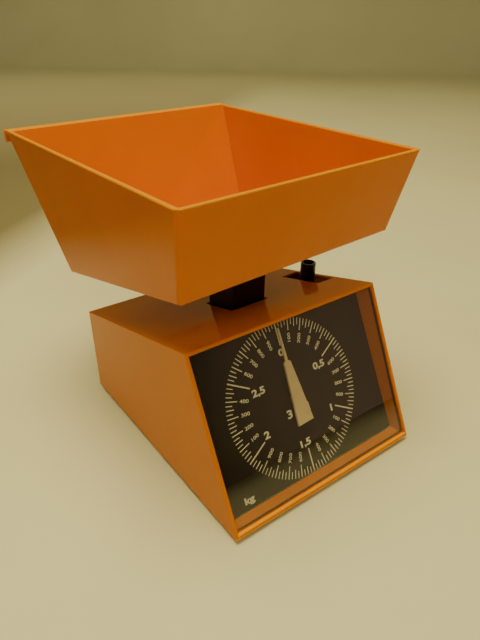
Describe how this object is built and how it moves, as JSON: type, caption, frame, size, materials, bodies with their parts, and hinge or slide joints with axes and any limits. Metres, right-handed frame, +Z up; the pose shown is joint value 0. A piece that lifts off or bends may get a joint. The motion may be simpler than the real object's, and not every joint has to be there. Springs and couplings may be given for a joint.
{
  "type": "kitchen scale",
  "caption": "Spring kitchen scale with a deep lift-off tray on a post, a wedge-shaped housing with a dial behind a clear window, and a zero knob in a slot.",
  "frame": {"origin": "middle of the footprint of the whole object, on the table", "axes": "+X to the right seen from the dial, +Y to the rear, away from the dial, +Z up"},
  "size_m": [0.1804, 0.226, 0.1784],
  "materials": {
    "orange_plastic": "glossy moulded orange plastic",
    "clear_plastic": "clear polished plastic window",
    "dial_print": "satin dark brown dial with cream print",
    "pointer_paint": "cream paint",
    "black_plastic": "satin black plastic",
    "rubber": "dull black rubber",
    "zinc_steel": "zinc-plated sheet steel",
    "brass": "machined brass",
    "bright_steel": "bright steel"
  },
  "bodies": {
    "housing": {"adjuster_bracket": "zinc_steel", "base_plate": "zinc_steel", "base_screw_1": "bright_steel", "base_screw_2": "bright_steel", "base_screw_3": "bright_steel", "base_screw_4": "bright_steel", "bracket_screw": "bright_steel", "bridge_pillar_1": "brass", "bridge_pillar_2": "brass", "bridge_pillar_3": "brass", "bridge_pillar_4": "brass", "dial_plate": "dial_print", "dial_window": "clear_plastic", "down_stop": "rubber", "foot_front_left": "rubber", "foot_front_right": "rubber", "foot_rear_left": "rubber", "foot_rear_right": "rubber", "front_bush": "brass", "front_frame": "zinc_steel", "front_frame_left_screw": "bright_steel", "front_frame_right_screw": "bright_steel", "hairspring": "bright_steel", "housing_shell": "orange_plastic", "lower_frame_pin": "bright_steel", "movement_bridge": "brass", "pivot_ear": "zinc_steel", "pivot_ear_screw": "bright_steel", "rack_guide": "black_plastic", "rear_bush": "brass", "upper_frame_pin": "bright_steel", "upright_left": "zinc_steel", "upright_left_screw": "bright_steel", "upright_right": "zinc_steel", "upright_right_screw": "bright_steel"},
    "platform": {"platform_post": "black_plastic", "platform_seat": "black_plastic", "seat_screw": "bright_steel", "rack_arm": "zinc_steel", "rack_pin": "bright_steel", "arm_screw_1": "bright_steel", "arm_screw_2": "bright_steel"},
    "tray": {"tray": "orange_plastic"},
    "rack": {"rack": "brass"},
    "pointer": {"pointer": "pointer_paint", "spindle": "bright_steel", "pinion": "brass"},
    "upper_link": {"upper_link": "zinc_steel", "upper_post_pin": "bright_steel"},
    "lower_link": {"lower_link": "zinc_steel", "lower_post_pin": "bright_steel", "spring_pin": "bright_steel"},
    "spring_hook": {"spring_hook": "brass"},
    "zero_knob": {"zero_knob": "black_plastic", "zero_screw": "bright_steel"},
    "zero_nut": {"zero_nut": "brass", "main_spring": "bright_steel"}
  },
  "joints": [
    {"name": "platform_travel", "type": "slide", "parent": "housing", "child": "platform", "axis": [0, 0, -1], "range_m": [0, 0.01381], "stiffness_N_per_m": 2130, "springref_m": -0.004, "deforming": ["main_spring"]},
    {"name": "tray_lift", "type": "slide", "parent": "platform", "child": "tray", "axis": [0, 0, 1], "range_m": [0, 0.12]},
    {"name": "rack_travel", "type": "slide", "parent": "housing", "child": "rack", "axis": [0, -0.4767, -0.8791], "range_m": [0, 0.0158]},
    {"name": "pointer_turn", "type": "hinge", "parent": "housing", "child": "pointer", "pos_m": [0.00047, -0.07684, 0.04495], "axis": [0, 0.8791, -0.4767], "range_deg": [0, 362]},
    {"name": "upper_link_pivot", "type": "hinge", "parent": "housing", "child": "upper_link", "pos_m": [0.00197, 0.03803, 0.051], "axis": [1, 0, 0], "range_deg": [0, 18]},
    {"name": "lower_link_pivot", "type": "hinge", "parent": "housing", "child": "lower_link", "pos_m": [0.00197, 0.03803, 0.02], "axis": [1, 0, 0], "range_deg": [0, 18]},
    {"name": "spring_hook_pivot", "type": "hinge", "parent": "lower_link", "child": "spring_hook", "pos_m": [0.06197, -0.01697, 0.02854], "axis": [-1, 0, 0], "range_deg": [0, 18]},
    {"name": "zero_knob_turn", "type": "hinge", "parent": "housing", "child": "zero_knob", "pos_m": [0.06197, -0.01697, 0.081], "axis": [0, 0, 1], "range_deg": [-722, 722]},
    {"name": "zero_nut_travel", "type": "slide", "parent": "housing", "child": "zero_nut", "axis": [0, 0, -1], "range_m": [-0.0014, 0.0014]}
  ],
  "couplings": [
    {"joint": "rack_travel", "follows": "platform_travel", "ratio": 1.1375},
    {"joint": "pointer_turn", "follows": "platform_travel", "rad_per_m": 455.02},
    {"joint": "upper_link_pivot", "follows": "platform_travel", "rad_per_m": 22.31},
    {"joint": "lower_link_pivot", "follows": "platform_travel", "rad_per_m": 22.31},
    {"joint": "spring_hook_pivot", "follows": "platform_travel", "rad_per_m": 22.31},
    {"joint": "zero_knob_turn", "follows": "zero_nut_travel", "rad_per_m": 8976}
  ]
}
